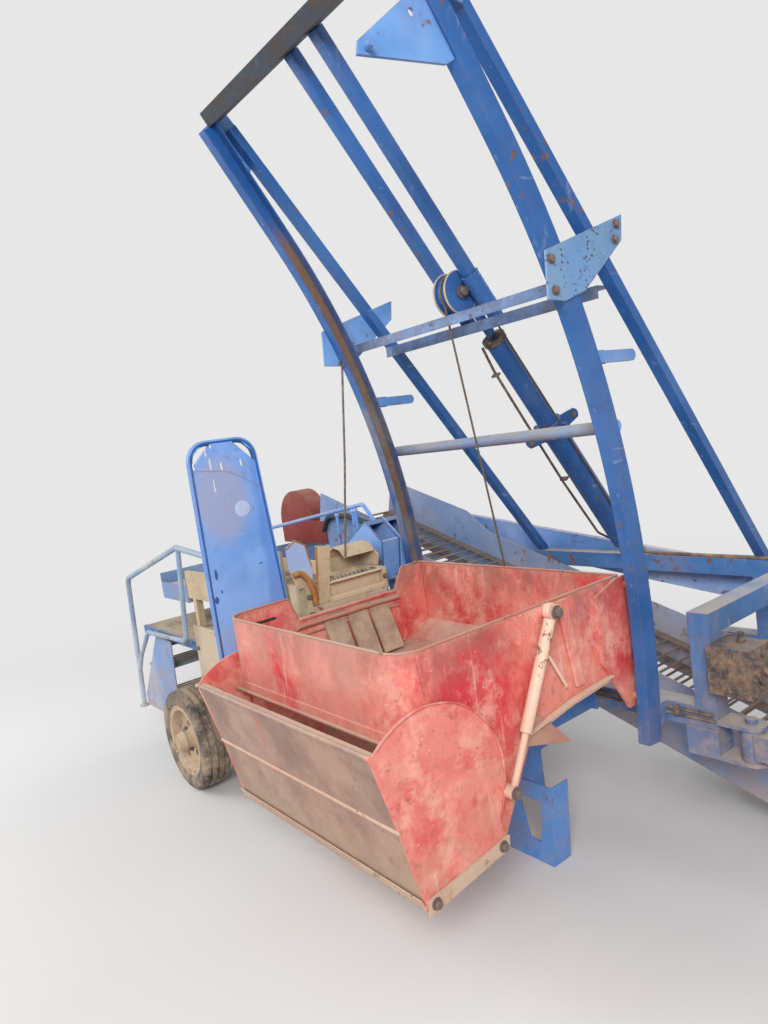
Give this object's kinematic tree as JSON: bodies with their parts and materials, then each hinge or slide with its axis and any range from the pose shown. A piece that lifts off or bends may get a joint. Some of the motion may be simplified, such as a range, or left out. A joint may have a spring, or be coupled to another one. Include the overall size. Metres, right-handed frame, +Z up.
{
  "type": "potato harvester",
  "caption": "Trailed offset potato harvester with web elevator, picking platform and side bunker that rides up a mast of curved channel rails.",
  "frame": {"origin": "on the ground under the middle of the machine's outer box", "axes": "+X forward to the hitch eye, +Y to the machine's left, +Z up"},
  "size_m": [5.1994, 2.44, 3.1625],
  "materials": {
    "frame_blue": "worn satin paint with rust",
    "mast_blue": "worn gloss paint with rusty tracks",
    "rusty_beam": "rusty",
    "dark_iron": "oily",
    "panel_blue": "faded",
    "worn_rail": "worn to grey",
    "web_steel": "worn steel",
    "hood_red": "faded",
    "deck_dirt": "dusty planks",
    "cream_plate": "dirty",
    "belt_rubber": "dusty",
    "rim_paint": "dirty",
    "tyre_rubber": "dusty",
    "bunker_red": "faded with mud",
    "slat_dirt": "dirty",
    "strut_pink": "faded"
  },
  "bodies": {
    "chassis": {"main_frame": "frame_blue", "platform_bearers": "frame_blue", "foot_bracket": "frame_blue", "axle": "frame_blue", "gearbox": "dark_iron", "drive_guard": "panel_blue", "web_walls": "panel_blue", "main_web": "web_steel", "haulm_hood": "hood_red", "cross_conveyor": "panel_blue", "platform": "deck_dirt", "steps": "panel_blue", "handrail": "worn_rail", "guard_board": "panel_blue", "wheel_plate": "cream_plate", "table_frame": "panel_blue", "picking_belt": "belt_rubber", "spiral_roller": "cream_plate", "chute_plates": "cream_plate", "guard_rail": "panel_blue", "clod_bins": "panel_blue", "mast_rails": "mast_blue", "mast_legs": "mast_blue", "mast_top": "rusty_beam", "mast_bars": "mast_blue", "guide_tubes": "mast_blue", "lift_barrel": "mast_blue"},
    "wheel_right": {"wheel_right_rim": "rim_paint", "wheel_right_tyre": "tyre_rubber"},
    "wheel_left": {"wheel_left_rim": "rim_paint", "wheel_left_tyre": "tyre_rubber"},
    "bunker": {"bunker_shell": "bunker_red", "bunker_slats": "slat_dirt", "bunker_carriage": "bunker_red"},
    "lift_carriage": {"lift_block": "mast_blue"},
    "flap_body": {"flap": "bunker_red"},
    "strut_barrel": {"flap_barrel": "strut_pink"},
    "strut_rod": {"flap_rod": "strut_pink"},
    "drawbar_body": {"drawbar": "frame_blue"},
    "stand_body": {"parking_stand": "frame_blue"},
    "foot_body": {"front_foot": "frame_blue"},
    "digger": {"share_frame": "frame_blue", "shares": "web_steel"},
    "ridge_roller_body": {"ridge_roller": "frame_blue"},
    "coulter_body": {"disc_coulters": "web_steel"}
  },
  "joints": [
    {"name": "wheel_right_spin", "type": "hinge", "parent": "chassis", "child": "wheel_right", "pos_m": [-1.697, -0.885, 0.267], "axis": [0, 1, 0], "continuous": true},
    {"name": "wheel_left_spin", "type": "hinge", "parent": "chassis", "child": "wheel_left", "pos_m": [-1.697, 1.115, 0.267], "axis": [0, 1, 0], "continuous": true},
    {"name": "bunker_lift", "type": "hinge", "parent": "chassis", "child": "bunker", "pos_m": [-0.1425, -3.208, 0.895], "axis": [1, 0, 0], "range_deg": [0, 27]},
    {"name": "lift_block_slide", "type": "slide", "parent": "chassis", "child": "lift_carriage", "axis": [0, -0.5934, 0.8049], "range_m": [0, 0.77]},
    {"name": "flap_hinge", "type": "hinge", "parent": "bunker", "child": "flap_body", "pos_m": [-0.1425, -1.08, 0.335], "axis": [1, 0, 0], "range_deg": [0, 60]},
    {"name": "strut_swing", "type": "hinge", "parent": "bunker", "child": "strut_barrel", "pos_m": [0.45, -0.428, 1.051], "axis": [1, 0, 0], "range_deg": [-38, 0]},
    {"name": "strut_slide", "type": "slide", "parent": "strut_barrel", "child": "strut_rod", "axis": [0, -0.483, -0.8756], "range_m": [0, 0.13]},
    {"name": "drawbar_swing", "type": "hinge", "parent": "chassis", "child": "drawbar_body", "pos_m": [0.8, 0.13, 0.47], "axis": [0, 0, 1], "range_deg": [-20, 7]},
    {"name": "stand_fold", "type": "hinge", "parent": "drawbar_body", "child": "stand_body", "pos_m": [2.15, 0.053, 0.47], "axis": [0, 1, 0], "range_deg": [0, 90]},
    {"name": "front_foot_slide", "type": "slide", "parent": "chassis", "child": "foot_body", "axis": [0, 0, 1], "range_m": [0, 0.11]},
    {"name": "digger_lift", "type": "hinge", "parent": "chassis", "child": "digger", "pos_m": [0.95, 0.63, 0.18], "axis": [0, -1, 0], "range_deg": [0, 12]},
    {"name": "ridge_roller_spin", "type": "hinge", "parent": "digger", "child": "ridge_roller_body", "pos_m": [1.44, 0.63, 0.26], "axis": [0, 1, 0], "continuous": true},
    {"name": "coulter_spin", "type": "hinge", "parent": "digger", "child": "coulter_body", "pos_m": [1.25, 0.63, 0.26], "axis": [0, 1, 0], "continuous": true}
  ],
  "couplings": [
    {"joint": "lift_block_slide", "follows": "bunker_lift", "m_per_rad": 1.6145},
    {"joint": "strut_swing", "follows": "flap_hinge", "ratio": -0.6081},
    {"joint": "strut_slide", "follows": "flap_hinge", "m_per_rad": 0.11632}
  ]
}
